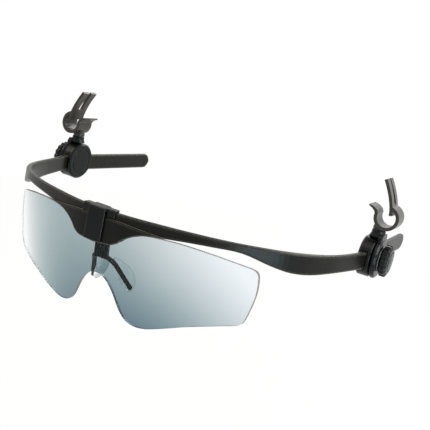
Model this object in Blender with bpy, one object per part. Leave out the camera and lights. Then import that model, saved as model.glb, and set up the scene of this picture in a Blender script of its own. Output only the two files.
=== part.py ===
"""Clip-on safety glasses: a curved brow bar with one wrap lens, hung from two hooks on a hat's side brim.

Metres, +Z up, +X to the wearer's left, the lens at -Y. The origin lies midway between the two hook rings.
The pieces of each side are modelled once in a side frame: X outwards, Y along the arm, Z up, with its
origin on the clip's pivot. They are alike front and back, so a half turn about Z makes the other side's.
"""
import math

import bmesh
import bpy
from mathutils import Matrix, Vector

# Fits and finish
gap = 0.0003
overrun = 0.002
edge_round = 0.0009
small_round = 0.0004
seam_merge = 0.000001
round_steps = 36
barrel_steps = 24
small_round_steps = 16
smooth_angle = math.radians(35)

# Brow bar with its two arms
half_span = 0.0923
front_reach = 0.1096
brow_rise = 0.0066
arm_height = 0.009
bar_thickness = 0.0027
arm_tail = 0.0718
arm_toe_in = math.radians(3.4)
arm_droop = math.radians(2.0)
tail_cap_steps = 5
tail_tip_steps = 5.4
bar_steps = 4
# Share of half_span, of front_reach, of brow_rise and of arm_height, from the middle out to the arm
bar_station_shares = (
    (0.0, 1.0, 1.0, 0.80),
    (0.09, 0.994, 0.987, 0.80),
    (0.18, 0.975, 0.955, 0.77),
    (0.285, 0.942, 0.91, 0.68),
    (0.415, 0.895, 0.85, 0.55),
    (0.537, 0.840, 0.78, 0.47),
    (0.652, 0.770, 0.695, 0.47),
    (0.761, 0.672, 0.56, 0.86),
    (0.830, 0.585, 0.43, 1.09),
    (0.887, 0.484, 0.28, 1.12),
    (0.936, 0.365, 0.13, 1.02),
    (0.973, 0.240, 0.04, 0.97),
)
straight_arm_share = 0.11

# Wrap lens
lens_setback = 0.0061
lens_front = front_reach - lens_setback
lens_wrap_radius = 0.0943
lens_tilt_share = -0.2166
lens_drop_radius = 0.155
lens_level = 0.0458
lens_thickness = 0.002
lens_half_width = 0.068
lens_height = 0.0460
lens_top = 0.0187
lens_columns = 36
lens_rows = 8
lens_curve_steps = 3
# Share of lens_half_width and of lens_height below lens_top
lens_outline_shares = (
    (0.0, 0.010), (0.12, 0.010), (0.30, 0.009), (0.434, 0.001), (0.551, 0.004), (0.669, 0.026),
    (0.781, 0.056),
    (0.894, 0.098), (0.968, 0.134), (0.994, 0.185), (1.0, 0.280), (0.999, 0.376), (0.990, 0.480),
    (0.973, 0.600), (0.953, 0.705), (0.925, 0.745), (0.840, 0.774), (0.744, 0.810), (0.628, 0.859),
    (0.545, 0.905), (0.450, 0.957), (0.375, 0.992), (0.305, 1.0), (0.243, 0.968), (0.198, 0.893),
    (0.165, 0.795), (0.132, 0.690), (0.090, 0.600), (0.045, 0.548), (0.0, 0.530),
)

# Lens carrier, a batwing plate that holds the lens under the bar, with a thin lip up the bar's front
carrier_half_width = 0.0312
carrier_skin = 0.0008
carrier_top = 0.0145
carrier_height = 0.0127
carrier_steps = 24
# Share of carrier_half_width, then top and bottom as shares of carrier_height below carrier_top
carrier_station_shares = (
    (0.0, 0.0, 1.0), (0.28, 0.02, 0.95), (0.37, 0.03, 0.84), (0.45, 0.05, 0.64), (0.56, 0.09, 0.46),
    (0.69, 0.13, 0.335), (0.85, 0.18, 0.275), (1.0, 0.215, 0.255),
)
carrier_body_share = 0.52

# Centre clip, which snaps over the bar
clip_half_width = 0.0098
clip_wall = 0.0007
clip_block_half_width = 0.0045
clip_block_depth = 0.0009
clip_block_height = 0.0158
latch_reach = 0.0042
latch_drop = 0.0021
latch_height = 0.0026

# Nose guide, bridge and pads
guide_level = 0.0292
screw_spacing = 0.0063
guide_edge = 0.0022
guide_half_width = screw_spacing + guide_edge
guide_height = 0.0075
guide_rise = 0.0030
guide_lift = 0.0009
guide_depth = 0.0030
post_half_width = 0.0037
post_depth = 0.0016
post_lift = 0.0005
post_top = 0.0095
post_length = 0.0165
post_rib_width = 0.0009
post_rib_depth = 0.0004
post_rib_count = 4
screw_rise = 0.0068
screw_radius = 0.00075
screw_head_radius = 0.0015
screw_head_height = 0.0009
screw_length = 0.0088
screw_tip_share = 0.6
screw_dome_shares = (0.7, 0.5)
fork_width = 0.0022
fork_thickness = 0.0016
fork_steps = 6
fork_elbow_out = 0.0060
fork_elbow_drop = 0.0035
fork_elbow_back = 0.0042
fork_end_out = 0.0109
fork_end_drop = 0.0158
fork_end_back = 0.0117
# Share of post_half_width, then of fork_elbow_out, _back and _drop, on the way to the elbow
fork_root_share = 0.35
fork_lead_shares = (0.72, 0.35, 0.10)
pad_length = 0.0205
pad_width = 0.0100
pad_thickness = 0.0018
pad_back_share = 0.36
pad_up_share = 0.66
pad_taper_shares = (0.5, 0.24)
pad_outline_steps = 28
# Share of pad_thickness from its middle, and of its outline, from the arm's side to the nose's
pad_layer_shares = ((-0.5, 0.86), (-0.28, 1.0), (0.10, 0.98), (0.38, 0.80), (0.5, 0.52))

# Side clip: slider, shoe, stud, pivot plate, washer, knob and cap
pivot_rise = 0.0012
clip_radius = 0.0104
slider_inner_wall = 0.0017
slider_outer_wall = 0.0016
boss_radius = 0.0040
shoe_radius = 0.0032
shoe_thickness = 0.0007
stud_radius = 0.0015
stud_length = 0.0070
plate_thickness = 0.0028
washer_radius = 0.0066
washer_thickness = 0.0004
knob_radius = 0.0084
knob_thickness = 0.0042
knob_lobes = 16
knob_lobe_steps = 5
knob_lobe_depth = 0.0009
knob_lobe_power = 0.7
knob_recess_radius = 0.0052
knob_recess_depth = 0.0010
cap_thickness = 0.0009
cap_crown = 0.0004
face_groove_radius = 0.0072
face_groove_width = 0.0010
face_groove_depth = 0.0005

# Neck, swivel pin and hat hook
ring_out = 0.0052
ring_rise = 0.0215
neck_out = 0.0021
neck_root_share = 0.62
neck_root_width = 0.0100
neck_head_width = 0.0078
barrel_base_radius = 0.0042
barrel_radius = 0.0035
barrel_top = 0.0142
pin_radius = 0.0011
pin_depth = 0.0030
pin_rise = 0.0018
foot_radius = 0.0033
foot_top_radius = 0.0023
foot_collar = 0.0014
foot_height = 0.0032
ring_radius = 0.0047
hook_wall = 0.0017
hook_width = 0.0115
hook_ring_steps = 22
lip_reach = 0.0056
lip_rise = 0.0032
# Share of lip_reach, of lip_rise and of hook_wall, from the lip's tip to the ring
lip_shares = ((0.80, 1.06, 0.40), (0.42, 0.80, 0.72), (0.12, 0.42, 0.92))
leg_height = 0.0187
leg_lean = 0.0066
leg_lean_power = 1.6
leg_start_out = 0.0016
leg_start_rise = 0.0017
leg_thickness = 0.0016
leg_steps = 8
slot_bottom_radius = 0.0016
slot_waist = 0.0027
slot_mouth = 0.0018
slot_start = 0.0085
slot_waist_share = 0.30
slot_mouth_share = 0.72
slot_round_steps = 8
ring_start = math.radians(168)
ring_end = math.radians(437)

# Shares that several corners have
bar_corner_share = 0.9
corner_cut_share = 0.45
diagonal_share = 0.7071


# Meshes

def finish_bmesh(bm, name):
    bmesh.ops.remove_doubles(bm, verts=bm.verts, dist=seam_merge)
    bmesh.ops.recalc_face_normals(bm, faces=bm.faces)
    mesh = bpy.data.meshes.new(name)
    bm.to_mesh(mesh)
    bm.free()
    return mesh


def lofted(name, sections):
    """A closed solid through sections with equal numbers of points."""
    bm = bmesh.new()
    loops = [[bm.verts.new(point) for point in section] for section in sections]
    for first, second in zip(loops, loops[1:]):
        for i in range(len(first)):
            j = (i + 1) % len(first)
            bm.faces.new((first[i], first[j], second[j], second[i]))
    bm.faces.new(loops[0])
    bm.faces.new(loops[-1])
    return finish_bmesh(bm, name)


def prism(name, outline, direction):
    """An outline of 3-D points pushed along a direction."""
    bm = bmesh.new()
    face = bm.faces.new([bm.verts.new(point) for point in outline])
    pushed = bmesh.ops.extrude_face_region(bm, geom=[face])
    moved = [item for item in pushed["geom"] if isinstance(item, bmesh.types.BMVert)]
    bmesh.ops.translate(bm, verts=moved, vec=direction)
    return finish_bmesh(bm, name)


def box(name, low, high):
    outline = [
        Vector((low[0], low[1], low[2])), Vector((high[0], low[1], low[2])),
        Vector((high[0], high[1], low[2])), Vector((low[0], high[1], low[2])),
    ]
    return prism(name, outline, Vector((0, 0, high[2] - low[2])))


def turned(name, profile, steps=round_steps):
    """A profile of (radius, place along X) turned about X. It ends on the axis, or closes on itself."""
    bm = bmesh.new()
    verts = [bm.verts.new((along, 0, radius)) for radius, along in profile]
    edges = [bm.edges.new(pair) for pair in zip(verts, verts[1:])]
    if profile[0][0] > 0:
        edges.append(bm.edges.new((verts[-1], verts[0])))
    bmesh.ops.spin(
        bm, geom=verts + edges, cent=(0, 0, 0), axis=(1, 0, 0), angle=2 * math.pi, steps=steps, use_merge=True
    )
    return finish_bmesh(bm, name)


def tube(name, inner, outer, start, end, steps=round_steps):
    return turned(name, [(inner, start), (outer, start), (outer, end), (inner, end)], steps)


def rod(name, radius, start, end, steps=round_steps):
    return turned(name, [(0, start), (radius, start), (radius, end), (0, end)], steps)


def moved_mesh(mesh, matrix):
    mesh.transform(matrix)
    return mesh


def curve_through(points, steps, closed=False):
    """Points on a smooth curve that passes through the given ones."""
    count = len(points)
    out = []
    last = count if closed else count - 1
    for i in range(last):
        before = points[(i - 1) % count] if closed or i else points[0]
        here = points[i]
        there = points[(i + 1) % count]
        after = points[(i + 2) % count] if closed or i + 2 < count else points[-1]
        for step in range(steps):
            t = step / steps
            out.append(
                tuple(
                    0.5 * (2 * b + (c - a) * t + (2 * a - 5 * b + 4 * c - d) * t * t
                           + (3 * b - a - 3 * c + d) * t * t * t)
                    for a, b, c, d in zip(before, here, there, after)
                )
            )
    return out if closed else out + [tuple(points[-1])]


def value_at(stations, x, column):
    """Straight between the stations of a table whose first column rises."""
    for first, second in zip(stations, stations[1:]):
        if x <= second[0]:
            share = (x - first[0]) / (second[0] - first[0])
            return first[column] + (second[column] - first[column]) * share
    return stations[-1][column]


# Objects

def plastic(name, color, roughness, metallic=0.0, alpha=1.0):
    material = bpy.data.materials.new(name)
    material.use_nodes = True
    shader = material.node_tree.nodes["Principled BSDF"]
    shader.inputs["Base Color"].default_value = (*color, 1)
    shader.inputs["Roughness"].default_value = roughness
    shader.inputs["Metallic"].default_value = metallic
    shader.inputs["Alpha"].default_value = alpha
    material.diffuse_color = (*color, alpha)
    return material


def add(name, mesh, material, parent=None):
    mesh.materials.clear()
    mesh.materials.append(material)
    mesh.shade_smooth()
    mesh.set_sharp_from_angle(angle=smooth_angle)
    piece = bpy.data.objects.new(name, mesh)
    piece.parent = parent
    bpy.context.scene.collection.objects.link(piece)
    return piece


def shaped(mesh, *changes):
    """The mesh after each (operation, other mesh), done one by one with exact Booleans."""
    for number, (operation, other) in enumerate(changes):
        body = bpy.data.objects.new("body", mesh)
        tool = bpy.data.objects.new("tool", other)
        bpy.context.scene.collection.objects.link(body)
        bpy.context.scene.collection.objects.link(tool)
        modifier = body.modifiers.new("shape", "BOOLEAN")
        modifier.operation = operation
        modifier.solver = "EXACT"
        modifier.object = tool
        graph = bpy.context.evaluated_depsgraph_get()
        mesh = bpy.data.meshes.new_from_object(body.evaluated_get(graph))
        bpy.data.objects.remove(body)
        bpy.data.objects.remove(tool)
    return mesh


def rounded(mesh, width, segments=2, angle=math.radians(40)):
    """The mesh with its sharp edges rounded."""
    body = bpy.data.objects.new("body", mesh)
    bpy.context.scene.collection.objects.link(body)
    modifier = body.modifiers.new("round", "BEVEL")
    modifier.width = width
    modifier.segments = segments
    modifier.limit_method = "ANGLE"
    modifier.angle_limit = angle
    modifier.use_clamp_overlap = True
    graph = bpy.context.evaluated_depsgraph_get()
    mesh = bpy.data.meshes.new_from_object(body.evaluated_get(graph))
    bpy.data.objects.remove(body)
    return mesh


# Places that several pieces share

def side_matrix(side):
    """The side frame: X outwards, Z up, with its origin on the clip's pivot."""
    toe, droop = arm_toe_in, arm_droop
    outwards = Vector((side * math.cos(toe), math.sin(toe), 0))
    up = Vector((-side * math.sin(toe) * math.sin(droop), math.cos(toe) * math.sin(droop), math.cos(droop)))
    along = up.cross(outwards)
    place = -(up * ring_rise + outwards * ring_out)
    place.x = side * half_span
    matrix = Matrix((outwards, along, up)).transposed().to_4x4()
    matrix.translation = place
    return matrix


def arm_line():
    """A point on the left arm's centre line, beside the pivot, and its direction to the tail."""
    matrix = side_matrix(1)
    return matrix @ Vector((0, 0, -pivot_rise)), matrix.to_3x3() @ Vector((0, 1, 0))


def lens_y(x, z):
    """Front surface of the wrap lens: round about a tilted upright axis, and a little round in height."""
    down = z + lens_level
    wrap = lens_wrap_radius - math.sqrt(lens_wrap_radius ** 2 - x * x)
    return wrap + lens_tilt_share * down + down * down / (2 * lens_drop_radius) - lens_front


def bar_stations():
    """Centre x, y, z and height along the left half of the bar, from the middle to the tail's end."""
    on_arm, along = arm_line()
    arm_top = on_arm.z + arm_height / 2
    front = []
    for x, y, rise, height in bar_station_shares:
        centre_z = arm_top + rise * brow_rise - height * arm_height / 2
        front.append((x * half_span, -y * front_reach, centre_z, height * arm_height))
    start = on_arm + along * (-straight_arm_share * front_reach - on_arm.y) / along.y
    tail = on_arm + along * (arm_tail - on_arm.y) / along.y
    cap = arm_height / 2
    stations = curve_through(front + [(*start, arm_height)], bar_steps)
    straight_end = tail - along * cap
    stations.append((*straight_end, arm_height))
    for step in range(1, tail_cap_steps + 1):
        angle = step / tail_tip_steps * math.pi / 2
        place = straight_end + along * cap * math.sin(angle)
        stations.append((*place, arm_height * math.cos(angle)))
    return stations


def bar_section(place, sideways, height, thickness, corner):
    """A rounded upright rectangle across the bar."""
    across = thickness / 2
    up = height / 2
    corner = min(corner, across * bar_corner_share, up * bar_corner_share)
    points = []
    for sign_a, sign_u in ((1, 1), (-1, 1), (-1, -1), (1, -1)):
        turn = [(1, 0), (diagonal_share, diagonal_share), (0, 1)]
        if sign_a != sign_u:
            turn.reverse()
        for cos_share, sin_share in turn:
            a = sign_a * (across - corner + corner * cos_share)
            u = sign_u * (up - corner + corner * sin_share)
            points.append(place + sideways * a + Vector((0, 0, u)))
    return points


def bar_sections(grow=0.0, limit=None):
    """Sections of the bar, left to right, grown on every side: all of them, or those near the middle."""
    half = bar_stations()
    places = [Vector(station[:3]) for station in half]
    sections = []
    for i, station in enumerate(half):
        if limit and station[0] > limit:
            break
        before = places[max(i - 1, 0)]
        after = places[min(i + 1, len(places) - 1)]
        run = after - before
        run.z = 0
        if i == 0:
            run = Vector((1, 0, 0))
        sideways = Vector((run.y, -run.x, 0)).normalized()
        sections.append(
            bar_section(places[i], sideways, station[3] + 2 * grow, bar_thickness + 2 * grow, edge_round)
        )
    mirrored = [[Vector((-p.x, p.y, p.z)) for p in section] for section in sections[:0:-1]]
    return mirrored + sections


def nose_matrix():
    """The nose frame: Y away from the lens's back at guide_level, Z up along the post."""
    slope = lens_tilt_share + (lens_level - guide_level) / lens_drop_radius
    matrix = Matrix.Rotation(-math.atan(-slope), 4, "X").inverted()
    matrix.translation = Vector((0, lens_y(0, -guide_level) + lens_thickness, -guide_level))
    return matrix


# Brow bar, clip and carrier

def make_brow_bar(material):
    return add("brow_bar", lofted("brow_bar", bar_sections()), material)


def make_lens_shield(material, frame):
    outline = [
        (x * lens_half_width, -lens_top - down * lens_height)
        for x, down in curve_through(lens_outline_shares, lens_curve_steps)
    ]
    outline += [(-x, z) for x, z in outline[-2:0:-1]]
    blank_half = lens_half_width + overrun
    low = -lens_top - lens_height - overrun
    tall = lens_height + 2 * overrun
    front = []
    for row in range(lens_rows + 1):
        z = low + tall * row / lens_rows
        line = []
        for column in range(lens_columns + 1):
            x = blank_half * (2 * column / lens_columns - 1)
            line.append(Vector((x, lens_y(x, z), z)))
        front.append(line)
    back = [[p + Vector((0, lens_thickness, 0)) for p in line] for line in front]
    bm = bmesh.new()
    grids = [[[bm.verts.new(p) for p in line] for line in grid] for grid in (front, back)]
    for grid in grids:
        for first, second in zip(grid, grid[1:]):
            for i in range(lens_columns):
                bm.faces.new((first[i], first[i + 1], second[i + 1], second[i]))
    rims = []
    for grid in grids:
        right = [line[-1] for line in grid]
        left = [line[0] for line in grid]
        rims.append(grid[0][:-1] + right[:-1] + grid[-1][:0:-1] + left[:0:-1])
    for i in range(len(rims[0])):
        j = (i + 1) % len(rims[0])
        bm.faces.new((rims[0][i], rims[0][j], rims[1][j], rims[1][i]))
    blank = finish_bmesh(bm, "lens_blank")
    depth = lens_front + overrun
    start = [Vector((x, -depth - lens_top, z)) for x, z in outline]
    cookie = prism("lens_cookie", start, Vector((0, depth, 0)))
    holes = [("DIFFERENCE", screw_hole(side, frame, screw_radius + gap)) for side in (1, -1)]
    return add("lens_shield", shaped(blank, ("INTERSECT", cookie), *holes), material)


def screw_hole(side, frame, radius):
    """A cutter along a lens screw, from behind the guide to the screw's point."""
    start = guide_lift + guide_depth + overrun
    end = guide_lift + guide_depth - screw_length
    hole = rod("hole", radius, end, start, small_round_steps)
    turn = Matrix.Rotation(math.pi / 2, 4, "Z")
    place = Matrix.Translation((side * screw_spacing, 0, screw_rise))
    return moved_mesh(hole, frame @ place @ turn)


def bar_levels():
    """Heights of the bar's top and bottom in the middle."""
    on_arm, _ = arm_line()
    top = on_arm.z + arm_height / 2 + brow_rise
    return top, top - bar_station_shares[0][3] * arm_height


def bar_front(x):
    """Y of the bar's front face over a place along its middle."""
    places = [(station[0], station[1]) for station in bar_stations() if station[0] <= half_span / 2]
    return value_at(places, abs(x), 1) - bar_thickness / 2


def make_lens_carrier(material, frame):
    """A body between lens and bar, and the lip in front of the bar, both with the batwing outline."""
    skin_sections = []
    body_sections = []
    _, bar_bottom = bar_levels()
    for step in range(-carrier_steps, carrier_steps + 1):
        share = step / carrier_steps
        x = share * carrier_half_width
        top = -carrier_top - value_at(carrier_station_shares, abs(share), 1) * carrier_height
        bottom = -carrier_top - value_at(carrier_station_shares, abs(share), 2) * carrier_height
        rear = bar_front(x) - gap
        front = rear - carrier_skin
        soft = min(small_round, (top - bottom) / 4)
        skin_sections.append([
            Vector((x, rear, bottom)), Vector((x, rear, top)),
            Vector((x, front + soft, top)), Vector((x, front, top - 2 * soft)),
            Vector((x, front, bottom + soft)), Vector((x, front + soft, bottom)),
        ])
        if abs(share) > carrier_body_share:
            continue
        ceiling = bar_bottom - 2 * gap
        floor = bottom + soft
        levels = [floor + (ceiling - floor) * level / 3 for level in range(4)]
        back = [Vector((x, lens_y(x, z) - gap, z)) for z in levels]
        body_sections.append(back + [
            Vector((x, rear - carrier_skin / 2, ceiling)), Vector((x, rear - carrier_skin / 2, floor)),
        ])
    mesh = shaped(
        lofted("skin", skin_sections), ("UNION", lofted("body", body_sections)),
        *[("DIFFERENCE", screw_hole(side, frame, screw_radius + gap)) for side in (1, -1)],
    )
    return add("lens_carrier", mesh, material)


def make_centre_clip(material):
    """A saddle over the bar, a raised middle down the carrier's front, and a sloping latch behind."""
    bar_top, _ = bar_levels()
    saddle = []
    for section in bar_sections(clip_wall + gap, clip_half_width + gap):
        low = -carrier_top + gap
        saddle.append([Vector((p.x, p.y, max(p.z, low))) for p in section])
    face = bar_front(0) - gap - carrier_skin - gap
    top = bar_top + gap + clip_wall
    rear = -front_reach + bar_thickness / 2 + gap
    half = clip_block_half_width
    block = rounded(
        box("block", (-half, face - clip_block_depth, top - clip_block_height), (half, face, top)),
        small_round,
    )
    half -= small_round
    nose = face - clip_block_depth / 2
    tip = rear + latch_reach
    low = top - latch_drop - latch_height
    side = [
        (nose, bar_top), (nose, top), (rear, top + small_round),
        (tip, top - latch_drop), (tip, low), (rear, low),
    ]
    latch = prism("latch", [Vector((-half, y, z)) for y, z in side], Vector((2 * half, 0, 0)))
    room = lofted("bar_room", bar_sections(gap))
    mesh = shaped(
        lofted("saddle", saddle), ("UNION", block), ("UNION", rounded(latch, small_round)),
        ("DIFFERENCE", room),
    )
    return add("centre_clip", mesh, material)


# Nose guide, screws, bridge and pads

def make_nose_guide(material, frame):
    low = (-guide_half_width, guide_lift, guide_rise)
    high = (guide_half_width, guide_lift + guide_depth, guide_rise + guide_height)
    body = rounded(box("guide", low, high), small_round)
    channel = box(
        "channel",
        (-post_half_width - gap, guide_lift - overrun, low[2] - overrun),
        (post_half_width + gap, post_lift + post_depth + gap, high[2] + overrun),
    )
    mesh = shaped(moved_mesh(body, frame), ("DIFFERENCE", moved_mesh(channel, frame)))
    for side in (1, -1):
        mesh = shaped(mesh, ("DIFFERENCE", screw_hole(side, frame, screw_radius + gap)))
    return add("nose_guide", mesh, material)


def make_lens_screw(name, side, material, frame):
    seat = guide_lift + guide_depth + gap
    tip = guide_lift + guide_depth - screw_length + gap
    top_share, edge_share = screw_dome_shares
    profile = [
        (0, tip), (screw_radius * screw_tip_share, tip), (screw_radius, tip + screw_radius),
        (screw_radius, seat), (screw_head_radius, seat),
        (screw_head_radius, seat + screw_head_height * edge_share),
        (screw_head_radius * top_share, seat + screw_head_height), (0, seat + screw_head_height),
    ]
    mesh = turned(name, profile, small_round_steps)
    turn = Matrix.Rotation(math.pi / 2, 4, "Z")
    place = Matrix.Translation((side * screw_spacing, 0, screw_rise))
    return add(name, moved_mesh(mesh, frame @ place @ turn), material)


def cut_corners(a, b):
    """A rectangle's half sizes as the eight points of one with its corners cut."""
    cut = min(a, b) * corner_cut_share
    return [(a, b - cut), (a - cut, b), (cut - a, b), (-a, b - cut),
            (-a, cut - b), (cut - a, -b), (a - cut, -b), (a, cut - b)]


def fork_path(side):
    """The fork arm's centre line in the nose frame: out of the post's foot, round an elbow, to the pad."""
    foot = post_top - post_length
    middle = post_lift + post_depth / 2
    out_share, back_share, drop_share = fork_lead_shares
    points = [
        (side * post_half_width * fork_root_share, post_lift + fork_width / 2, foot + fork_width / 2),
        (side * fork_elbow_out * out_share, middle + fork_elbow_back * back_share,
         foot - fork_elbow_drop * drop_share),
        (side * fork_elbow_out, middle + fork_elbow_back, foot - fork_elbow_drop),
        (side * (fork_elbow_out + fork_end_out) / 2, middle + (fork_elbow_back + fork_end_back) / 2,
         foot - (fork_elbow_drop + fork_end_drop) / 2),
        (side * fork_end_out, middle + fork_end_back, foot - fork_end_drop),
    ]
    return [Vector(p) for p in curve_through(points, fork_steps)]


def fork_sections(path, width, thickness):
    """Chamfered rectangles across the fork arm."""
    sections = []
    for i, place in enumerate(path):
        run = (path[min(i + 1, len(path) - 1)] - path[max(i - 1, 0)]).normalized()
        flat = run.cross(Vector((0, 1, 0))).normalized()
        deep = flat.cross(run).normalized()
        a, b = thickness / 2, width / 2
        sections.append([place + flat * x + deep * y for x, y in cut_corners(a, b)])
    return sections


def make_nose_bridge(material, frame):
    half, back, front = post_half_width, post_lift + post_depth, post_lift
    foot = post_top - post_length
    outline = [Vector((-half, back, foot)), Vector((half, back, foot))]
    pitch = 2 * half / post_rib_count
    for rib in range(post_rib_count, 0, -1):
        edge = -half + rib * pitch
        outline.append(Vector((edge - (pitch - post_rib_width) / 2, front, foot)))
        outline.append(Vector((edge - (pitch + post_rib_width) / 2, front, foot)))
        if rib > 1:
            outline.append(Vector((edge - pitch, front + post_rib_depth, foot)))
    outline.insert(2, Vector((half, front + post_rib_depth, foot)))
    outline.append(Vector((-half, front + post_rib_depth, foot)))
    post = prism("post", outline, Vector((0, 0, post_length)))
    forks = [
        ("UNION", lofted("fork", fork_sections(fork_path(side), fork_width, fork_thickness)))
        for side in (1, -1)
    ]
    mesh = shaped(post, *forks)
    bridge = add("nose_bridge", mesh, material)
    bridge.matrix_world = frame
    return bridge


def make_nose_pad(name, side, material, frame):
    """A crowned teardrop of clear silicone on the inner side of the fork arm."""
    path = fork_path(side)
    end = path[-1]
    run = (path[-1] - path[-fork_steps]).normalized()
    inwards = run.cross(Vector((0, 1, 0))).normalized() * -1
    if inwards.x * side > 0:
        inwards.negate()
    deep = inwards.cross(run).normalized()
    if deep.y < 0:
        deep.negate()
    centre = end - run * pad_length / 2 * pad_up_share + deep * pad_width * pad_back_share
    centre += inwards * (fork_thickness / 2 + gap + pad_thickness / 2)
    sections = []
    for height_share, spread_share in pad_layer_shares:
        loop = []
        for step in range(pad_outline_steps):
            angle = 2 * math.pi * step / pad_outline_steps
            lengthwise = math.cos(angle) * pad_length / 2
            taper_share = pad_taper_shares[0] + pad_taper_shares[1] * math.cos(angle)
            crosswise = math.sin(angle) * pad_width * taper_share
            flat = run * lengthwise * spread_share + deep * crosswise * spread_share
            loop.append(centre + flat + inwards * pad_thickness * height_share)
        sections.append(loop)
    pad = add(name, lofted(name, sections), material)
    pad.matrix_world = frame
    return pad


# Side clip, modelled once in the side frame

half_arm = bar_thickness / 2
slider_face = half_arm + gap + slider_outer_wall
plate_start = slider_face + gap
plate_end = plate_start + plate_thickness
washer_start = plate_end + gap
boss_end = washer_start + washer_thickness / 2
knob_start = washer_start + washer_thickness + gap
knob_end = knob_start + knob_thickness


def slider_mesh():
    inner = -half_arm - gap - slider_inner_wall
    groove = face_groove_radius
    wide = face_groove_width / 2
    profile = [
        (0, inner), (groove - wide, inner), (groove - wide / 2, inner + face_groove_depth),
        (groove + wide / 2, inner + face_groove_depth), (groove + wide, inner),
        (clip_radius - edge_round, inner), (clip_radius, inner + edge_round),
        (clip_radius, slider_face - small_round), (clip_radius - small_round, slider_face),
        (boss_radius, slider_face), (boss_radius, boss_end), (0, boss_end),
    ]
    across = half_arm + gap
    up = arm_height / 2 + gap
    reach = clip_radius + overrun
    slot = box("slot", (-across, -reach, -up - pivot_rise), (across, reach, up - pivot_rise))
    shoe_end = half_arm + gap + shoe_thickness + gap
    shoe_room = rod("shoe_room", shoe_radius + gap, half_arm, shoe_end, small_round_steps)
    bore = rod("bore", stud_radius + gap, half_arm, boss_end + overrun, small_round_steps)
    return shaped(
        turned("slider", profile), ("DIFFERENCE", slot), ("DIFFERENCE", shoe_room), ("DIFFERENCE", bore)
    )


def shoe_mesh():
    start = half_arm + gap
    return rod("shoe", shoe_radius, start, start + shoe_thickness, small_round_steps)


def stud_mesh():
    start = half_arm + gap + shoe_thickness + gap
    end = start + stud_length
    profile = [
        (0, start), (stud_radius, start), (stud_radius, end - small_round),
        (stud_radius - small_round, end), (0, end),
    ]
    return turned("stud", profile, small_round_steps)


def plate_mesh():
    """A round plate that turns on the boss, with a web up to a barrel that stands over the slider."""
    bore = boss_radius + gap
    soft = edge_round
    profile = [
        (bore, plate_start), (clip_radius - soft, plate_start), (clip_radius, plate_start + soft),
        (clip_radius, plate_end - soft), (clip_radius - soft, plate_end), (bore, plate_end),
    ]
    disc = turned("disc", profile)
    low = clip_radius * neck_root_share
    middle = (plate_start + plate_end) / 2
    deep = plate_thickness / 2 - gap
    barrel_low = clip_radius + gap
    web_top = (barrel_low + barrel_top) / 2
    sections = []
    for up, width in ((low, neck_root_width), (barrel_low, neck_root_width), (web_top, neck_head_width)):
        sections.append([Vector((middle + x, y, up)) for x, y in cut_corners(deep, width / 2)])
    barrel = turned("barrel", [
        (0, barrel_low), (barrel_base_radius, barrel_low), (barrel_radius, web_top),
        (barrel_radius, barrel_top - small_round), (barrel_radius - small_round, barrel_top), (0, barrel_top),
    ], barrel_steps)
    floor = barrel_top - pin_depth
    hole = upright(rod("pin_hole", pin_radius + gap, floor, barrel_top + overrun, small_round_steps))
    return shaped(disc, ("UNION", lofted("web", sections)), ("UNION", upright(barrel)), ("DIFFERENCE", hole))


def upright(mesh):
    """A turned mesh stood up on the axis that the hook swivels on."""
    return moved_mesh(mesh, Matrix.Translation((neck_out, 0, 0)) @ Matrix.Rotation(-math.pi / 2, 4, "Y"))


def washer_mesh():
    end = washer_start + washer_thickness
    return tube("washer", boss_radius + gap, washer_radius, washer_start, end, round_steps)


def knob_mesh():
    """A cog-edged clamp knob with a round recess for its cap and a blind bore for the stud."""
    outline = []
    count = knob_lobes * knob_lobe_steps
    for step in range(count):
        turn = 2 * math.pi * step / count
        wave = abs(math.cos(turn * knob_lobes / 2)) ** knob_lobe_power
        radius = knob_radius - knob_lobe_depth * (1 - wave)
        outline.append((math.cos(turn) * radius, math.sin(turn) * radius))
    inner_share = (knob_radius - 2 * knob_lobe_depth) / knob_radius
    layers = (
        (knob_start, inner_share), (knob_start + edge_round, 1.0),
        (knob_end - edge_round, 1.0), (knob_end, inner_share),
    )
    body = lofted("knob", [[Vector((x, y * s, z * s)) for y, z in outline] for x, s in layers])
    recess = rod("recess", knob_recess_radius, knob_end - knob_recess_depth, knob_end + overrun)
    bore_end = half_arm + gap + shoe_thickness + gap + stud_length + gap
    bore = rod("bore", stud_radius + gap, knob_start - overrun, bore_end, small_round_steps)
    return shaped(body, ("DIFFERENCE", recess), ("DIFFERENCE", bore))


def cap_mesh():
    start = knob_end - knob_recess_depth + gap
    radius = knob_recess_radius - gap
    end = start + cap_thickness
    profile = [
        (0, start), (radius, start), (radius, end - small_round),
        (radius - small_round, end), (0, end + cap_crown),
    ]
    return turned("cap", profile)


def pin_mesh():
    """A plain pin, half in the barrel and half in the hook's foot."""
    low = barrel_top - pin_depth + gap
    high = barrel_top + gap + pin_rise
    return upright(rod("pin", pin_radius, low, high, small_round_steps))


def strip(name, path, thicknesses):
    """A strip in the side frame's XZ plane, as wide as the hook, with a thickness at each point."""
    left, right = [], []
    for i, (place, thickness) in enumerate(zip(path, thicknesses)):
        run = path[min(i + 1, len(path) - 1)] - path[max(i - 1, 0)]
        normal = Vector((-run.z, 0, run.x)).normalized() * thickness / 2
        left.append(place + normal)
        right.append(place - normal)
    outline = [p - Vector((0, hook_width / 2, 0)) for p in left + right[::-1]]
    return prism(name, outline, Vector((0, hook_width, 0)))


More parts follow.
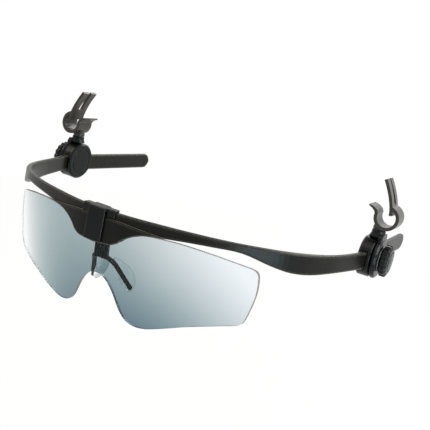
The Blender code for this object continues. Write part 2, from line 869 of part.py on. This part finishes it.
def foot_mesh(centre):
    """The short foot that carries the ring on the barrel, cut off inside the ring's wall."""
    low = barrel_top + gap
    foot = turned("foot", [
        (0, low), (foot_radius, low), (foot_radius, low + foot_collar),
        (foot_top_radius, low + foot_height), (0, low + foot_height),
    ], barrel_steps)
    inside = rod("inside", ring_radius + hook_wall / 2, -hook_width, hook_width)
    inside = moved_mesh(inside, Matrix.Translation(centre) @ Matrix.Rotation(math.pi / 2, 4, "Z"))
    return shaped(upright(foot), ("DIFFERENCE", inside))


def hook_mesh():
    """A C ring with a flared lip on the head's side, a tall forked leg on the outer side, and a foot."""
    centre = Vector((ring_out, 0, ring_rise))
    middle = ring_radius + hook_wall / 2
    bend = centre + Vector((math.cos(ring_start), 0, math.sin(ring_start))) * middle
    path = []
    walls = []
    for reach_share, rise_share, wall_share in lip_shares:
        path.append(bend + Vector((-lip_reach * reach_share, 0, lip_rise * rise_share)))
        walls.append(hook_wall * wall_share)
    for step in range(hook_ring_steps + 1):
        angle = ring_start + (ring_end - ring_start) * step / hook_ring_steps
        path.append(centre + Vector((math.cos(angle), 0, math.sin(angle))) * middle)
        walls.append(hook_wall)
    ring = strip("ring", path, walls)
    root = centre + Vector((leg_start_out, 0, leg_start_rise))
    points = []
    for step in range(leg_steps + 1):
        share = step / leg_steps
        lean = -leg_lean * share ** leg_lean_power
        points.append(root + Vector((lean, 0, (leg_height - leg_start_rise) * share)))
    leg = strip("leg", points, [leg_thickness] * len(points))
    low = barrel_top + gap
    hole = upright(rod("pin_hole", pin_radius + gap, low - overrun, low + pin_rise + gap, small_round_steps))
    return shaped(
        ring, ("UNION", leg), ("UNION", foot_mesh(centre)),
        ("DIFFERENCE", slot_mesh(centre)), ("DIFFERENCE", hole),
    )


def slot_mesh(centre):
    """The keyhole slot that splits the leg in two tines, open at the top."""
    low = centre.z + slot_start
    top = centre.z + leg_height + overrun
    outline = []
    for step in range(slot_round_steps + 1):
        angle = math.pi + math.pi * step / slot_round_steps
        outline.append((math.cos(angle) * slot_bottom_radius, low + math.sin(angle) * slot_bottom_radius))
    waist = low + (top - low) * slot_waist_share
    mouth = low + (top - low) * slot_mouth_share
    outline += [(slot_waist / 2, waist), (slot_mouth / 2, mouth), (slot_mouth / 2, top)]
    outline += [(-slot_mouth / 2, top), (-slot_mouth / 2, mouth), (-slot_waist / 2, waist)]
    start = centre.x - leg_lean - ring_radius
    points = [Vector((start, y, z)) for y, z in outline]
    return prism("slot", points, Vector((2 * ring_radius + leg_lean + hook_wall, 0, 0)))


def main():
    for item in list(bpy.data.objects):
        bpy.data.objects.remove(item)
    satin_black = plastic("satin_black_nylon", (0.025, 0.022, 0.024), 0.45)
    gloss_black = plastic("gloss_black_abs", (0.012, 0.014, 0.016), 0.28)
    hook_brown = plastic("dark_bronze_nylon", (0.065, 0.058, 0.052), 0.35)
    smoke = plastic("smoke_mirror_polycarbonate", (0.35, 0.42, 0.46), 0.08, 0.0, 0.5)
    clear = plastic("clear_silicone", (0.75, 0.80, 0.82), 0.25, 0.0, 0.4)
    steel = plastic("zinc_plated_steel", (0.55, 0.56, 0.58), 0.3, 1.0)
    rubber = plastic("grip_rubber", (0.02, 0.02, 0.02), 0.8)

    nose = nose_matrix()
    make_brow_bar(satin_black)
    make_centre_clip(gloss_black)
    make_lens_carrier(satin_black, nose)
    make_lens_shield(smoke, nose)
    make_nose_guide(satin_black, nose)
    for suffix, side in (("l", 1), ("r", -1)):
        make_lens_screw("lens_screw_" + suffix, side, steel, nose)
        make_nose_pad("nose_pad_" + suffix, side, clear, nose)
    make_nose_bridge(satin_black, nose)

    side_pieces = (
        ("arm_slider", slider_mesh(), gloss_black),
        ("brake_shoe", shoe_mesh(), rubber),
        ("clamp_stud", stud_mesh(), steel),
        ("pivot_plate", plate_mesh(), gloss_black),
        ("friction_washer", washer_mesh(), steel),
        ("clamp_knob", knob_mesh(), gloss_black),
        ("knob_cap", cap_mesh(), gloss_black),
        ("swivel_pin", pin_mesh(), steel),
        ("hat_hook", hook_mesh(), hook_brown),
    )
    for suffix, side in (("l", 1), ("r", -1)):
        pivot = bpy.data.objects.new("pivot_" + suffix, None)
        pivot.matrix_world = side_matrix(side)
        bpy.context.scene.collection.objects.link(pivot)
        for name, mesh, material in side_pieces:
            add(name + "_" + suffix, mesh, material, pivot)


main()
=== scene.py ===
"""Looks for the clip-on safety glasses: finishes, small details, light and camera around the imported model."""
import math

import bmesh
import bpy
from mathutils import Matrix, Vector


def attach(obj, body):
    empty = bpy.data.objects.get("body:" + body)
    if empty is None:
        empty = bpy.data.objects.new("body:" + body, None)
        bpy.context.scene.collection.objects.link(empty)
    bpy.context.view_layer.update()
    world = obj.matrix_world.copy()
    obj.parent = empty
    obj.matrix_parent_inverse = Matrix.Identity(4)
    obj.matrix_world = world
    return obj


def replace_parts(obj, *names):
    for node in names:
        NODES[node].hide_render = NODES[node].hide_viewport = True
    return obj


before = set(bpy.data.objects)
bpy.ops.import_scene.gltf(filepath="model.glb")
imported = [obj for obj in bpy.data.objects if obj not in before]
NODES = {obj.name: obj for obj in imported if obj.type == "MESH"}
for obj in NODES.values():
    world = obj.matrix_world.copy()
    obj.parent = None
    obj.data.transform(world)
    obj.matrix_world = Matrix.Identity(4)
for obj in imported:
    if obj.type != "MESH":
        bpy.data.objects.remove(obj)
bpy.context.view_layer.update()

MM = 0.001
SIDES = ("_l", "_r")
CHANNEL_MAX = 255


# Colour and node helpers

def srgb(text):
    """A hex colour as linear red, green, blue and alpha."""
    parts = [int(text[i:i + 2], 16) / CHANNEL_MAX for i in (0, 2, 4)]
    linear = [c / 12.92 if c <= 0.04045 else ((c + 0.055) / 1.055) ** 2.4 for c in parts]
    return (*linear, 1.0)


def put(tree, kind, inputs=None, stops=(), **settings):
    """Adds a node with its settings and colour stops. An input takes a value, a socket or a node."""
    made = tree.nodes.new(kind)
    for name, value in settings.items():
        setattr(made, name, value)
    for socket, value in (inputs or {}).items():
        if isinstance(value, bpy.types.Node):
            value = next(output for output in value.outputs if output.enabled)
        if isinstance(value, bpy.types.NodeSocket):
            tree.links.new(value, made.inputs[socket])
        else:
            made.inputs[socket].default_value = value
    if stops:
        elements = made.color_ramp.elements
        while len(elements) < len(stops):
            elements.new(1)
        for element, (position, text) in zip(elements, stops):
            element.position = position
            element.color = srgb(text)
    return made


def new_material(name):
    material = bpy.data.materials.new(name)
    material.use_nodes = True
    material.node_tree.nodes.clear()
    return material


def per_metre(size_mm):
    """Texture scale of a pattern whose features are this far apart."""
    return 1 / (size_mm * MM)


# How far the rounded normal agrees with the real one, on a flat and on an edge that takes the full edge colour,
# wear and painted highlight together
AGREES_ON_FLAT = 0.995
AGREES_ON_EDGE = 0.86


def edge_mask(tree, radius_mm):
    """0 on flats, 1 where an edge is sharper than the radius, and the normal rounded over that edge."""
    soft = put(tree, "ShaderNodeBevel", {"Radius": radius_mm * MM}, samples=4)
    plain = put(tree, "ShaderNodeNewGeometry").outputs["Normal"]
    agree = put(tree, "ShaderNodeVectorMath", {0: soft, 1: plain}, operation="DOT_PRODUCT")
    mask = put(tree, "ShaderNodeMapRange", {
        "Value": agree, "From Min": AGREES_ON_FLAT, "From Max": AGREES_ON_EDGE,
    })
    return mask, soft


# Finishes

# How far apart the patterns' features are, on the real surface
MOULD_CLOUD_MM = 14
PLATING_PATCH_MM = 1.2
SILICONE_HAZE_MM = 2.5
LENS_CLOUD_MM = 30
SAW_MARK_MM = 1.5
# Flow lines that run level along the mould: 16 mm long, drawn 0.7 mm apart so that they show
FLOW_SCALE = (per_metre(16), per_metre(16), per_metre(0.7))


def moulded_plastic(name, dark, light, worn_and_lit_edge, grain_mm, gloss, relief_mm, edge_mm, ior, shine=0.5):
    """Injection-moulded plastic: spark-eroded grain, faint flow clouds, and edges painted lighter, partly as
    wear and partly as a painted highlight.
    """
    material = new_material(name)
    tree = material.node_tree
    spot = put(tree, "ShaderNodeTexCoord").outputs["Object"]
    clouds = put(tree, "ShaderNodeTexNoise", {
        "Vector": spot, "Scale": per_metre(MOULD_CLOUD_MM), "Detail": 3.0,
    })
    grain = put(tree, "ShaderNodeTexNoise", {
        "Vector": spot, "Scale": per_metre(grain_mm), "Detail": 4.0, "Roughness": 0.6,
    })
    level = put(tree, "ShaderNodeMapping", {"Vector": spot, "Scale": FLOW_SCALE})
    flow = put(tree, "ShaderNodeTexNoise", {"Vector": level, "Scale": 1.0, "Detail": 3.0})
    flat = put(tree, "ShaderNodeValToRGB", {"Fac": clouds}, stops=((0.35, dark), (0.68, light)))
    # Painted highlight: edges sharper than the radius take a lighter colour, standing partly for wear and
    # partly for the light that edges catch
    worn_and_lit_mask, soft = edge_mask(tree, edge_mm)
    uneven = put(tree, "ShaderNodeMapRange", {"Value": grain, "To Min": 0.4, "To Max": 1.3})
    patchy = put(tree, "ShaderNodeMath", {0: worn_and_lit_mask, 1: uneven}, operation="MULTIPLY")
    tint = put(tree, "ShaderNodeMix", {"Factor": patchy, "A": flat, "B": srgb(worn_and_lit_edge)}, data_type="RGBA")
    pores = put(tree, "ShaderNodeMapRange", {"Value": grain, "To Min": 0.0, "To Max": 0.3})
    streaks = put(tree, "ShaderNodeMath", {0: flow, 1: 0.7, 2: pores}, operation="MULTIPLY_ADD")
    rough = put(tree, "ShaderNodeMapRange", {"Value": streaks, "To Min": gloss[0], "To Max": gloss[1]})
    bump = put(tree, "ShaderNodeBump", {
        "Strength": 0.5, "Distance": relief_mm * MM, "Height": grain, "Normal": soft,
    })
    shader = put(tree, "ShaderNodeBsdfPrincipled", {
        "Base Color": tint, "Roughness": rough, "Normal": bump, "IOR": ior, "Specular IOR Level": shine,
    })
    put(tree, "ShaderNodeOutputMaterial", {"Surface": shader})
    return material


def satin_nylon():
    """Glass-filled nylon, moulded: satin black, with a painted olive highlight on its edges that also stands
    for wear.
    """
    return moulded_plastic(
        # The pale olive edge colour is a painted highlight, with some wear
        "satin_black_nylon", dark="0d0d0b", light="151411", worn_and_lit_edge="868372",
        grain_mm=0.45, gloss=(0.22, 0.42), relief_mm=0.03, edge_mm=0.65, ior=1.53, shine=0.13,
    )


def gloss_abs():
    """ABS from a polished mould: a deeper blue-black with soft, nearly sharp highlights."""
    return moulded_plastic(
        # The blue-grey edge colour is a painted highlight, with some wear
        "polished_black_abs", dark="070808", light="0d0e0f", worn_and_lit_edge="2a2e30",
        grain_mm=0.9, gloss=(0.18, 0.30), relief_mm=0.012, edge_mm=0.6, ior=1.54, shine=0.15,
    )


def hook_nylon():
    """Unfilled nylon, moulded thin and waxy: dark grey-brown face on, pale where light skims it."""
    return moulded_plastic(
        "waxy_brown_nylon", dark="2b2823", light="3a3730", worn_and_lit_edge="39362f",
        grain_mm=0.7, gloss=(0.20, 0.32), relief_mm=0.02, edge_mm=0.1, ior=1.53, shine=0.28,
    )


def grip_rubber():
    """Moulded rubber: matte black with a dusty grain."""
    return moulded_plastic(
        "matte_grip_rubber", dark="1e1e1e", light="2a2a2a", worn_and_lit_edge="3a3a3a",
        grain_mm=0.3, gloss=(0.75, 0.9), relief_mm=0.04, edge_mm=0.3, ior=1.52,
    )


def zinc_steel():
    """Zinc-plated steel: pale grey, with the fine patches that plating leaves."""
    material = new_material("plated_zinc_steel")
    tree = material.node_tree
    spot = put(tree, "ShaderNodeTexCoord").outputs["Object"]
    patches = put(tree, "ShaderNodeTexNoise", {
        "Vector": spot, "Scale": per_metre(PLATING_PATCH_MM), "Detail": 4.0,
    })
    tint = put(tree, "ShaderNodeValToRGB", {"Fac": patches}, stops=((0.3, "7f8286"), (0.7, "a4a6aa")))
    rough = put(tree, "ShaderNodeMapRange", {"Value": patches, "To Min": 0.24, "To Max": 0.40})
    bump = put(tree, "ShaderNodeBump", {"Strength": 0.4, "Distance": 0.01 * MM, "Height": patches})
    shader = put(tree, "ShaderNodeBsdfPrincipled", {
        "Base Color": tint, "Metallic": 1.0, "Roughness": rough, "Normal": bump,
    })
    put(tree, "ShaderNodeOutputMaterial", {"Surface": shader})
    return material


def clear_silicone():
    """Clear silicone rubber, moulded: almost unseen face on, grey-blue where one looks along it."""
    material = new_material("clear_moulded_silicone")
    tree = material.node_tree
    spot = put(tree, "ShaderNodeTexCoord").outputs["Object"]
    haze = put(tree, "ShaderNodeTexNoise", {
        "Vector": spot, "Scale": per_metre(SILICONE_HAZE_MM), "Detail": 2.0,
    })
    flat = put(tree, "ShaderNodeValToRGB", {"Fac": haze}, stops=((0.3, "eef3f4"), (0.7, "fbfcfc")))
    facing = put(tree, "ShaderNodeLayerWeight", {"Blend": 0.5}).outputs["Facing"]
    skim = put(tree, "ShaderNodeMapRange", {
        "Value": facing, "From Min": 0.4, "From Max": 0.85,
    }, interpolation_type="SMOOTHSTEP")
    tint = put(tree, "ShaderNodeMix", {"Factor": skim, "A": flat, "B": srgb("5d7580")}, data_type="RGBA")
    rough = put(tree, "ShaderNodeMapRange", {"Value": haze, "To Min": 0.02, "To Max": 0.08})
    shader = put(tree, "ShaderNodeBsdfPrincipled", {
        "Base Color": tint, "Roughness": rough, "IOR": 1.12, "Transmission Weight": 1.0,
        "Coat Weight": 0.05, "Coat Roughness": 0.15, "Coat IOR": 1.41,
    })
    put(tree, "ShaderNodeOutputMaterial", {"Surface": shader})
    return material


# What counts as 1 across the tint, and what counts as 0 and 1 upwards
LENS_HALF_M = 60 * MM
LENS_MIDDLE_M = -40 * MM
LENS_UNIT_M = 20 * MM
# Lightness out of 255, as powers of the place across, for each power of the place upwards: the lens's own tint
# with the mirror's glare painted in
TINT_AND_GLARE_ROWS = ((160, 15, 81, -25), (27, 27, -25), (-4,))
# Colour of the tint by its lightness out of 255, from slate blue through grey to nearly clear
TINTS = (
    (120, "607684"), (141, "788d95"), (160, "8da0a4"), (180, "a5b4b7"), (200, "bec8ca"), (220, "d6dcde"),
    (239, "eceff0"), (250, "f8f9fa"),
)


def powers(tree, value, terms):
    """A sum of the value's powers, the plain term first."""
    total = terms[-1]
    for term in reversed(terms[:-1]):
        total = put(tree, "ShaderNodeMath", {0: total, 1: value, 2: term}, operation="MULTIPLY_ADD")
    return total


def smoke_tint_and_glare(tree, spot):
    """The lens colour by place: deep at the nose and lower rim, pale at the temples, cooler on the left. The
    paleness is partly the lens's own gradient and partly painted mirror glare.
    """
    split = put(tree, "ShaderNodeSeparateXYZ", {"Vector": spot})
    across = put(tree, "ShaderNodeMath", {0: split.outputs["X"], 1: 1 / LENS_HALF_M}, operation="MULTIPLY")
    upwards = put(tree, "ShaderNodeMapRange", {
        "Value": split.outputs["Z"], "From Min": LENS_MIDDLE_M, "From Max": LENS_MIDDLE_M + LENS_UNIT_M,
    }, clamp=False)
    rows = [powers(tree, across, [term / CHANNEL_MAX for term in row]) for row in TINT_AND_GLARE_ROWS]
    even = powers(tree, upwards, rows)
    clouds = put(tree, "ShaderNodeTexNoise", {
        "Vector": spot, "Scale": per_metre(LENS_CLOUD_MM), "Detail": 2.0,
    })
    drift = put(tree, "ShaderNodeMapRange", {"Value": clouds, "To Min": -0.015, "To Max": 0.015})
    # This lightness holds painted mirror glare as well as the lens's own tint
    lightness_and_glare = put(tree, "ShaderNodeMath", {0: even, 1: drift}, operation="ADD", use_clamp=True)
    stops = [(value / CHANNEL_MAX, text) for value, text in TINTS]
    tint = put(tree, "ShaderNodeValToRGB", {"Fac": lightness_and_glare}, stops=stops)
    # Painted reflection: a faint blue cast that grows towards the left, for the sky the mirror catches
    sky_reflection_share = put(tree, "ShaderNodeMapRange", {"Value": split.outputs["X"], "From Max": LENS_HALF_M})
    return put(tree, "ShaderNodeMix", {
        "Factor": sky_reflection_share, "A": tint, "B": srgb("f6fbff"),
    }, data_type="RGBA", blend_type="MULTIPLY")


def flash_mirror_lens():
    """Smoke polycarbonate with a silver flash mirror, whose glare is painted into the tint as paler colour and
    shows as faint gloss.
    """
    material = new_material("smoke_flash_mirror_polycarbonate")
    tree = material.node_tree
    spot = put(tree, "ShaderNodeTexCoord").outputs["Object"]
    shader = put(tree, "ShaderNodeBsdfPrincipled", {
        "Base Color": smoke_tint_and_glare(tree, spot), "Roughness": 0.02, "IOR": 1.15, "Transmission Weight": 1.0,
        "Coat Weight": 0.1, "Coat Roughness": 0.03, "Coat IOR": 1.6,
    })
    put(tree, "ShaderNodeOutputMaterial", {"Surface": shader})
    return material


def cut_lens_edge():
    """The lens's sawn and tumbled edge: brown-grey and cloudy, because one looks along the tinted sheet."""
    material = new_material("tumbled_polycarbonate_edge")
    tree = material.node_tree
    spot = put(tree, "ShaderNodeTexCoord").outputs["Object"]
    saw = put(tree, "ShaderNodeTexNoise", {"Vector": spot, "Scale": per_metre(SAW_MARK_MM), "Detail": 3.0})
    tint = put(tree, "ShaderNodeValToRGB", {"Fac": saw}, stops=((0.35, "57534f"), (0.65, "85827e")))
    rough = put(tree, "ShaderNodeMapRange", {"Value": saw, "To Min": 0.25, "To Max": 0.45})
    shader = put(tree, "ShaderNodeBsdfPrincipled", {
        "Base Color": tint, "Roughness": rough, "IOR": 1.2, "Transmission Weight": 0.35,
    })
    put(tree, "ShaderNodeOutputMaterial", {"Surface": shader})
    return material


def paint(material, *names):
    for name in names:
        for slot in NODES[name].material_slots:
            slot.material = material


def both(*names):
    return [name + side for name in names for side in SIDES]


def dress_nodes(nylon, steel, silicone):
    paint(nylon, "brow_bar", "lens_carrier", "nose_guide", "nose_bridge")
    paint(gloss_abs(), "centre_clip", *both("arm_slider", "pivot_plate", "clamp_knob", "knob_cap"))
    paint(hook_nylon(), *both("hat_hook"))
    paint(steel, *both("lens_screw", "clamp_stud", "friction_washer", "swivel_pin"))
    paint(grip_rubber(), *both("brake_shoe"))
    paint(silicone, *both("nose_pad"))


# Pieces

WELD = 0.001 * MM
SHARP = math.radians(35)
FLAT = math.radians(5)


def joined_copy(node):
    """A bmesh of a CAD node, its loose triangles joined."""
    bm = bmesh.new()
    bm.from_mesh(NODES[node].data)
    bmesh.ops.remove_doubles(bm, verts=bm.verts, dist=WELD)
    return bm


def finish_piece(bm, name, body, slot, *materials, sharp=SHARP):
    """Makes a piece of the bmesh, smooth but for its sharp edges, riding on a body."""
    for face in bm.faces:
        face.smooth = True
    for edge in bm.edges:
        edge.smooth = edge.is_manifold and edge.calc_face_angle() < sharp
    mesh = bpy.data.meshes.new(name)
    bm.to_mesh(mesh)
    bm.free()
    for material in materials:
        mesh.materials.append(material)
    piece = bpy.data.objects.new(name, mesh)
    bpy.context.scene.collection.objects.link(piece)
    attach(piece, body)
    return piece


def smooth_patches(bm):
    """The faces in groups that no sharp edge crosses, the smallest area first."""
    left, patches = set(bm.faces), []
    while left:
        queue, patch = [left.pop()], []
        while queue:
            face = queue.pop()
            patch.append(face)
            for edge in face.edges:
                if edge.is_manifold and edge.calc_face_angle() < SHARP:
                    near = [other for other in edge.link_faces if other in left]
                    left.difference_update(near)
                    queue.extend(near)
        patches.append(patch)
    return sorted(patches, key=lambda patch: sum(face.calc_area() for face in patch))


def make_lens():
    """The lens with its two faces smooth and a cut edge between them."""
    bm = joined_copy("lens_shield")
    for patch in smooth_patches(bm)[:-2]:
        for face in patch:
            face.material_index = 1
    lens = finish_piece(bm, "tinted_lens", "frame", "smoke_lens", flash_mirror_lens(), cut_lens_edge())
    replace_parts(lens, "lens_shield")


# Out of the screw heads, square to the way the nose post slides
SCREW_AXIS = Vector((0, 0.99406, 0.108836))
FACES_OUTWARDS = 0.98
RECESS_HALF_WIDTH = 0.22 * MM
RECESS_REACH = 0.72 * MM
RECESS_DEPTH = 0.5 * MM


def head_faces(bm):
    return [face for face in bm.faces if face.normal.dot(SCREW_AXIS) > FACES_OUTWARDS]


def make_screw(node, material):
    """A lens screw with a cross recess sunk into its head."""
    bm = joined_copy(node)
    rim = dict.fromkeys(vert for face in head_faces(bm) for vert in face.verts)
    middle = sum((vert.co for vert in rim), Vector()) / len(rim)
    sideways = Vector((1, 0, 0))
    ways = (sideways, SCREW_AXIS.cross(sideways))
    for way in ways:
        for offset in (RECESS_HALF_WIDTH, RECESS_REACH, -RECESS_HALF_WIDTH, -RECESS_REACH):
            faces = head_faces(bm)
            edges = dict.fromkeys(edge for face in faces for edge in face.edges)
            verts = dict.fromkeys(vert for face in faces for vert in face.verts)
            bmesh.ops.bisect_plane(
                bm, geom=[*faces, *edges, *verts], dist=WELD, plane_co=middle + way * offset, plane_no=way,
            )
    cross = []
    for face in head_faces(bm):
        reach = sorted(abs((face.calc_center_median() - middle).dot(way)) for way in ways)
        if reach[0] < RECESS_HALF_WIDTH and reach[1] < RECESS_REACH:
            cross.append(face)
    raised = bmesh.ops.extrude_face_region(bm, geom=cross)["geom"]
    bmesh.ops.delete(bm, geom=cross, context="FACES")
    sunk = [item for item in raised if isinstance(item, bmesh.types.BMVert)]
    bmesh.ops.translate(bm, verts=sunk, vec=-SCREW_AXIS * RECESS_DEPTH)
    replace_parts(finish_piece(bm, "cross_" + node, "frame", "steel", material), node)


PAD_ROUNDING_LEVELS = 3


def make_pad(node, material):
    """A nose pad with every edge rounded off, as soft moulded rubber has."""
    bm = joined_copy(node)
    bmesh.ops.dissolve_limit(bm, angle_limit=FLAT, verts=bm.verts, edges=bm.edges)
    pad = finish_piece(bm, "soft_" + node, "nose_rest", "clear_silicone", material, sharp=math.pi)
    rounding = pad.modifiers.new("rounding", "SUBSURF")
    rounding.levels = rounding.render_levels = PAD_ROUNDING_LEVELS
    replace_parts(pad, node)


# Light, floor and camera

FLOOR_RADIUS = 0.55
FLOOR_CENTRE_M = (0, 0.05, -0.16)
FLOOR_STEPS = 96
FLOOR_GLOW_SHARE = 0.93


def seen_ray(tree):
    """1 for what the camera, gloss and glass see, 0 for the light that falls on things."""
    rays = put(tree, "ShaderNodeLightPath").outputs
    seen = rays["Is Camera Ray"]
    for kind in ("Is Glossy Ray", "Is Transmission Ray"):
        seen = put(tree, "ShaderNodeMath", {0: seen, 1: rays[kind]}, operation="MAXIMUM")
    return seen


def studio_white():
    """Pale matte paper: seen as white, with a share of real shade so that shadows stay."""
    material = new_material("pale_studio_paper")
    tree = material.node_tree
    share = put(tree, "ShaderNodeMath", {0: seen_ray(tree), 1: FLOOR_GLOW_SHARE}, operation="MULTIPLY")
    paper = put(tree, "ShaderNodeBsdfDiffuse", {"Color": srgb("f2f2f0")})
    glow = put(tree, "ShaderNodeEmission", {"Color": srgb("ffffff"), "Strength": 1.0})
    mix = put(tree, "ShaderNodeMixShader", {0: share, 1: paper, 2: glow})
    put(tree, "ShaderNodeOutputMaterial", {"Surface": mix})
    return material


def add_floor():
    bm = bmesh.new()
    bmesh.ops.create_circle(bm, cap_ends=True, segments=FLOOR_STEPS, radius=FLOOR_RADIUS)
    mesh = bpy.data.meshes.new("studio_floor")
    bm.to_mesh(mesh)
    bm.free()
    floor = bpy.data.objects.new("studio_floor", mesh)
    floor.location = FLOOR_CENTRE_M
    mesh.materials.append(studio_white())
    bpy.context.scene.collection.objects.link(floor)


def add_world():
    """A white sweep to the camera, to gloss and through glass, and a plain soft light on everything else."""
    world = bpy.data.worlds.new("studio")
    bpy.context.scene.world = world
    world.use_nodes = True
    tree = world.node_tree
    tree.nodes.clear()
    soft = put(tree, "ShaderNodeBackground", {"Color": srgb("e9edf0"), "Strength": 0.5})
    white = put(tree, "ShaderNodeBackground", {"Color": srgb("ffffff"), "Strength": 1.0})
    mix = put(tree, "ShaderNodeMixShader", {0: seen_ray(tree), 1: soft, 2: white})
    put(tree, "ShaderNodeOutputWorld", {"Surface": mix})


# Each softbox's name, place, what it points at, width and height, watts and colour
SOFTBOXES = (
    ("key_above_left", (-0.5, -0.4, 0.9), (0, -0.05, 0), (0.7, 0.7), 6, "fff2dc"),
    ("window_right", (0.9, 0.15, 0.35), (0, -0.03, 0), (0.5, 0.5), 6.5, "fffaf2"),
    ("cool_panel_low_right", (0.74, -0.33, -0.18), (0.06, -0.08, -0.02), (0.5, 0.25), 4, "d4f2ff"),
    ("rim_behind", (0.1, 0.9, 0.6), (0, 0, 0), (0.9, 0.4), 5, "ffffff"),
)


def add_softbox(name, place_m, target_m, size_m, watts, hex_color):
    light = bpy.data.lights.new(name, "AREA")
    light.shape = "RECTANGLE"
    light.size, light.size_y = size_m
    light.energy = watts
    light.color = srgb(hex_color)[:3]
    lamp = bpy.data.objects.new(name, light)
    lamp.location = place_m
    lamp.rotation_euler = (Vector(target_m) - Vector(place_m)).to_track_quat("-Z", "Y").to_euler()
    bpy.context.scene.collection.objects.link(lamp)


# Where the photograph was taken from, fitted to its outline
EYE_M = (0.2199, -0.4533, 0.0915)
AZIMUTH = math.radians(26.644)
ELEVATION = math.radians(13.029)
ROLL = math.radians(11.854)
FOCAL_PX = 940.567
CENTRE_OFFSET_PX = (-16.271, -7.654)
IMAGE_PX = 430
SENSOR_MM = 36
CLIP_START_M = 0.01


def add_camera():
    """A camera where the photograph's stood, with its roll and its picture's shift."""
    level = math.cos(ELEVATION)
    back = Vector((math.sin(AZIMUTH) * level, -math.cos(AZIMUTH) * level, math.sin(ELEVATION)))
    right = Vector((math.cos(AZIMUTH), math.sin(AZIMUTH), 0))
    up = back.cross(right)
    turned_right = right * math.cos(ROLL) + up * math.sin(ROLL)
    turned_up = up * math.cos(ROLL) - right * math.sin(ROLL)
    data = bpy.data.cameras.new("camera")
    data.sensor_width = SENSOR_MM
    data.lens = FOCAL_PX / IMAGE_PX * SENSOR_MM
    data.shift_x = -CENTRE_OFFSET_PX[0] / IMAGE_PX
    data.shift_y = CENTRE_OFFSET_PX[1] / IMAGE_PX
    data.clip_start = CLIP_START_M
    camera = bpy.data.objects.new("camera", data)
    axes = Matrix((turned_right, turned_up, back)).transposed()
    camera.matrix_world = Matrix.Translation(EYE_M) @ axes.to_4x4()
    bpy.context.scene.collection.objects.link(camera)
    bpy.context.scene.camera = camera


plated = zinc_steel()
silicone = clear_silicone()
dress_nodes(satin_nylon(), plated, silicone)
make_lens()
for side in SIDES:
    make_screw("lens_screw" + side, plated)
    make_pad("nose_pad" + side, silicone)
add_floor()
add_world()
for softbox in SOFTBOXES:
    add_softbox(*softbox)
add_camera()
bpy.context.scene.view_settings.view_transform = "Standard"
